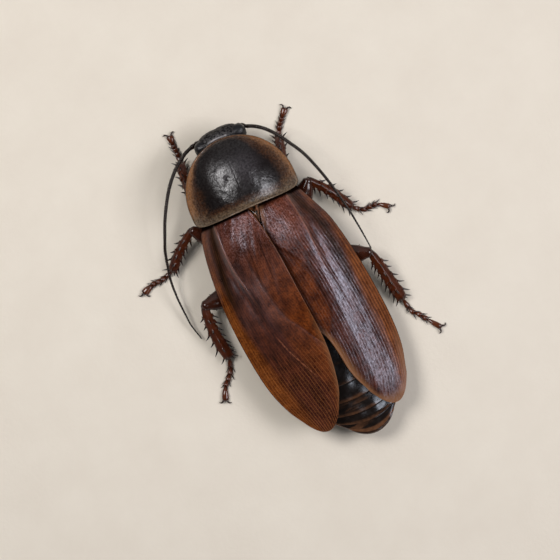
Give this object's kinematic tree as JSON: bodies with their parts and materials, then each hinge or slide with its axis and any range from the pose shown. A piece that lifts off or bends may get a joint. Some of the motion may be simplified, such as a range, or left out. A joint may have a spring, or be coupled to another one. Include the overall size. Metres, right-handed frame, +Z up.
{
  "type": "wood cockroach",
  "caption": "Still, life-size winged wood cockroach standing on its six spiny legs, a domed shield over its bent-down head and two veined fore wings folded over a ringed abdomen.",
  "frame": {"origin": "on the floor under the middle of the bounding box", "axes": "+Y along the body towards the tip of the abdomen, so the head looks along -Y; +X towards the animal's left side; +Z up"},
  "size_m": [0.0356, 0.047, 0.0095],
  "materials": {
    "shield_cuticle": "black, finely pitted and glossy in the middle, amber-brown towards the rim",
    "body_cuticle": "glossy black with brown rear edges on the plates",
    "wing_cuticle": "leathery dark red-brown with fine veins and a soft greyish sheen",
    "leg_cuticle": "glossy dark red-brown with near-black spines and claws",
    "antenna_cuticle": "dark brown, finely ringed, satin",
    "eye_lens": "black and glossy, finely faceted"
  },
  "bodies": {
    "root": {"pronotum": "shield_cuticle", "wing_left": "wing_cuticle", "wing_right": "wing_cuticle", "prothorax": "body_cuticle", "thorax": "body_cuticle", "abdomen": "body_cuticle", "head": "body_cuticle", "mouthparts": "body_cuticle", "eye_left": "eye_lens", "palp_left": "leg_cuticle", "cercus_left": "leg_cuticle", "antenna_left_base": "antenna_cuticle", "antenna_left_1": "antenna_cuticle", "antenna_left_2": "antenna_cuticle", "antenna_left_3": "antenna_cuticle", "eye_right": "eye_lens", "palp_right": "leg_cuticle", "cercus_right": "leg_cuticle", "antenna_right_base": "antenna_cuticle", "antenna_right_1": "antenna_cuticle", "antenna_right_2": "antenna_cuticle", "antenna_right_3": "antenna_cuticle", "front_left_coxa": "leg_cuticle", "front_left_femur": "leg_cuticle", "front_left_tibia": "leg_cuticle", "front_left_tarsus": "leg_cuticle", "front_right_coxa": "leg_cuticle", "front_right_femur": "leg_cuticle", "front_right_tibia": "leg_cuticle", "front_right_tarsus": "leg_cuticle", "middle_left_coxa": "leg_cuticle", "middle_left_femur": "leg_cuticle", "middle_left_tibia": "leg_cuticle", "middle_left_tarsus": "leg_cuticle", "middle_right_coxa": "leg_cuticle", "middle_right_femur": "leg_cuticle", "middle_right_tibia": "leg_cuticle", "middle_right_tarsus": "leg_cuticle", "hind_left_coxa": "leg_cuticle", "hind_left_femur": "leg_cuticle", "hind_left_tibia": "leg_cuticle", "hind_left_tarsus": "leg_cuticle", "hind_right_coxa": "leg_cuticle", "hind_right_femur": "leg_cuticle", "hind_right_tibia": "leg_cuticle", "hind_right_tarsus": "leg_cuticle"}
  },
  "joints": []
}
